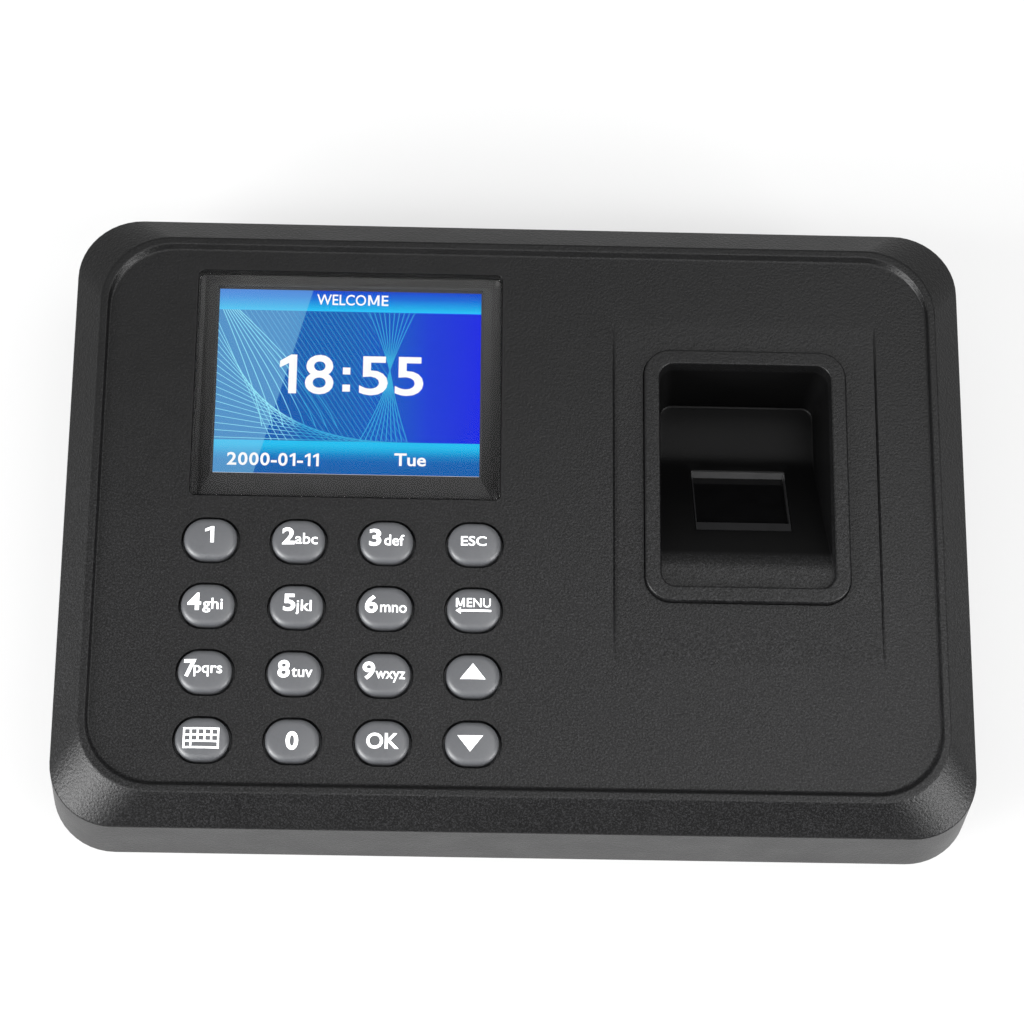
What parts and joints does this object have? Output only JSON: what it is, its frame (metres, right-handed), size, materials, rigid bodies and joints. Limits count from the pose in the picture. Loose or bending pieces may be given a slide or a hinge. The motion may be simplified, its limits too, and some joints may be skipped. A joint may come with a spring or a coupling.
{
  "type": "fingerprint scanner terminal",
  "caption": "Flat black terminal with a bevelled rim, a colour display over a keypad on the left and a deep sloping finger well on the right; hangs on screws or lies on its feet.",
  "frame": {"origin": "on the plane of the rubber feet, under the centre of the case", "axes": "+Z out of the face, +Y towards the top edge of the display, +X towards the finger well"},
  "size_m": [0.181, 0.127, 0.0373],
  "materials": {
    "case_plastic": "black ABS, fine moulded grain, semi-matt",
    "back_plastic": "black ABS, coarser moulded grain",
    "lens": "smoked acrylic, gloss",
    "tape": "black foam tape",
    "screen": "lit colour display",
    "white_plastic": "white nylon",
    "steel": "pressed sheet",
    "flex": "amber polyimide",
    "sensor_bezel": "dark grey moulded plastic, satin",
    "sensor_glass": "dark coated glass, gloss",
    "clear_glass": "polished optical glass",
    "black_plastic": "black moulded plastic",
    "circuit_board": "green solder mask",
    "ribbon": "flat white ribbon",
    "silicone": "silicone rubber",
    "gold_contacts": "gold-plated pads",
    "can_aluminium": "capacitor cans",
    "plated_steel": "nickel plate",
    "speaker": "paper cone and steel magnet",
    "wire": "PVC insulation",
    "dark_screw": "black zinc",
    "plated_screw": "nickel plate",
    "rubber_feet": "black rubber",
    "keys": "translucent grey silicone, satin"
  },
  "bodies": {
    "case": {"front_cover": "case_plastic", "back_cover": "back_plastic", "finger_guide": "case_plastic", "display_lens": "lens", "lens_tape": "tape", "lcd_glass": "screen", "lcd_backlight": "white_plastic", "lcd_holder": "steel", "lcd_flex": "flex", "sensor_bezel": "sensor_bezel", "sensor_glass": "sensor_glass", "sensor_prism": "clear_glass", "sensor_housing": "black_plastic", "sensor_lens": "clear_glass", "sensor_led_board": "circuit_board", "sensor_board": "circuit_board", "sensor_cable": "ribbon", "keypad_mat": "silicone", "key_board": "circuit_board", "key_contacts": "gold_contacts", "keypad_ribbon": "ribbon", "main_board": "circuit_board", "processor_chip": "black_plastic", "memory_chips": "black_plastic", "capacitors": "can_aluminium", "board_connectors": "white_plastic", "usb_port": "plated_steel", "usb_tongue": "white_plastic", "dc_jack": "black_plastic", "dc_pin": "plated_steel", "speaker": "speaker", "speaker_wires": "wire", "coin_cell": "plated_steel", "coin_holder": "black_plastic", "case_screws": "dark_screw", "board_screws": "plated_screw", "key_board_screws": "plated_screw", "lcd_screws": "plated_screw", "guide_screws": "plated_screw", "sensor_screws": "plated_screw", "rubber_feet": "rubber_feet"},
    "key_1_body": {"key_1": "keys"},
    "key_2_body": {"key_2": "keys"},
    "key_3_body": {"key_3": "keys"},
    "key_esc_body": {"key_esc": "keys"},
    "key_4_body": {"key_4": "keys"},
    "key_5_body": {"key_5": "keys"},
    "key_6_body": {"key_6": "keys"},
    "key_menu_body": {"key_menu": "keys"},
    "key_7_body": {"key_7": "keys"},
    "key_8_body": {"key_8": "keys"},
    "key_9_body": {"key_9": "keys"},
    "key_up_body": {"key_up": "keys"},
    "key_keyboard_body": {"key_keyboard": "keys"},
    "key_0_body": {"key_0": "keys"},
    "key_ok_body": {"key_ok": "keys"},
    "key_down_body": {"key_down": "keys"}
  },
  "joints": [
    {"name": "press_key_1", "type": "slide", "parent": "case", "child": "key_1_body", "axis": [0, 0, -1], "range_m": [0, 0.0009], "stiffness_N_per_m": 1500},
    {"name": "press_key_2", "type": "slide", "parent": "case", "child": "key_2_body", "axis": [0, 0, -1], "range_m": [0, 0.0009], "stiffness_N_per_m": 1500},
    {"name": "press_key_3", "type": "slide", "parent": "case", "child": "key_3_body", "axis": [0, 0, -1], "range_m": [0, 0.0009], "stiffness_N_per_m": 1500},
    {"name": "press_key_esc", "type": "slide", "parent": "case", "child": "key_esc_body", "axis": [0, 0, -1], "range_m": [0, 0.0009], "stiffness_N_per_m": 1500},
    {"name": "press_key_4", "type": "slide", "parent": "case", "child": "key_4_body", "axis": [0, 0, -1], "range_m": [0, 0.0009], "stiffness_N_per_m": 1500},
    {"name": "press_key_5", "type": "slide", "parent": "case", "child": "key_5_body", "axis": [0, 0, -1], "range_m": [0, 0.0009], "stiffness_N_per_m": 1500},
    {"name": "press_key_6", "type": "slide", "parent": "case", "child": "key_6_body", "axis": [0, 0, -1], "range_m": [0, 0.0009], "stiffness_N_per_m": 1500},
    {"name": "press_key_menu", "type": "slide", "parent": "case", "child": "key_menu_body", "axis": [0, 0, -1], "range_m": [0, 0.0009], "stiffness_N_per_m": 1500},
    {"name": "press_key_7", "type": "slide", "parent": "case", "child": "key_7_body", "axis": [0, 0, -1], "range_m": [0, 0.0009], "stiffness_N_per_m": 1500},
    {"name": "press_key_8", "type": "slide", "parent": "case", "child": "key_8_body", "axis": [0, 0, -1], "range_m": [0, 0.0009], "stiffness_N_per_m": 1500},
    {"name": "press_key_9", "type": "slide", "parent": "case", "child": "key_9_body", "axis": [0, 0, -1], "range_m": [0, 0.0009], "stiffness_N_per_m": 1500},
    {"name": "press_key_up", "type": "slide", "parent": "case", "child": "key_up_body", "axis": [0, 0, -1], "range_m": [0, 0.0009], "stiffness_N_per_m": 1500},
    {"name": "press_key_keyboard", "type": "slide", "parent": "case", "child": "key_keyboard_body", "axis": [0, 0, -1], "range_m": [0, 0.0009], "stiffness_N_per_m": 1500},
    {"name": "press_key_0", "type": "slide", "parent": "case", "child": "key_0_body", "axis": [0, 0, -1], "range_m": [0, 0.0009], "stiffness_N_per_m": 1500},
    {"name": "press_key_ok", "type": "slide", "parent": "case", "child": "key_ok_body", "axis": [0, 0, -1], "range_m": [0, 0.0009], "stiffness_N_per_m": 1500},
    {"name": "press_key_down", "type": "slide", "parent": "case", "child": "key_down_body", "axis": [0, 0, -1], "range_m": [0, 0.0009], "stiffness_N_per_m": 1500}
  ]
}
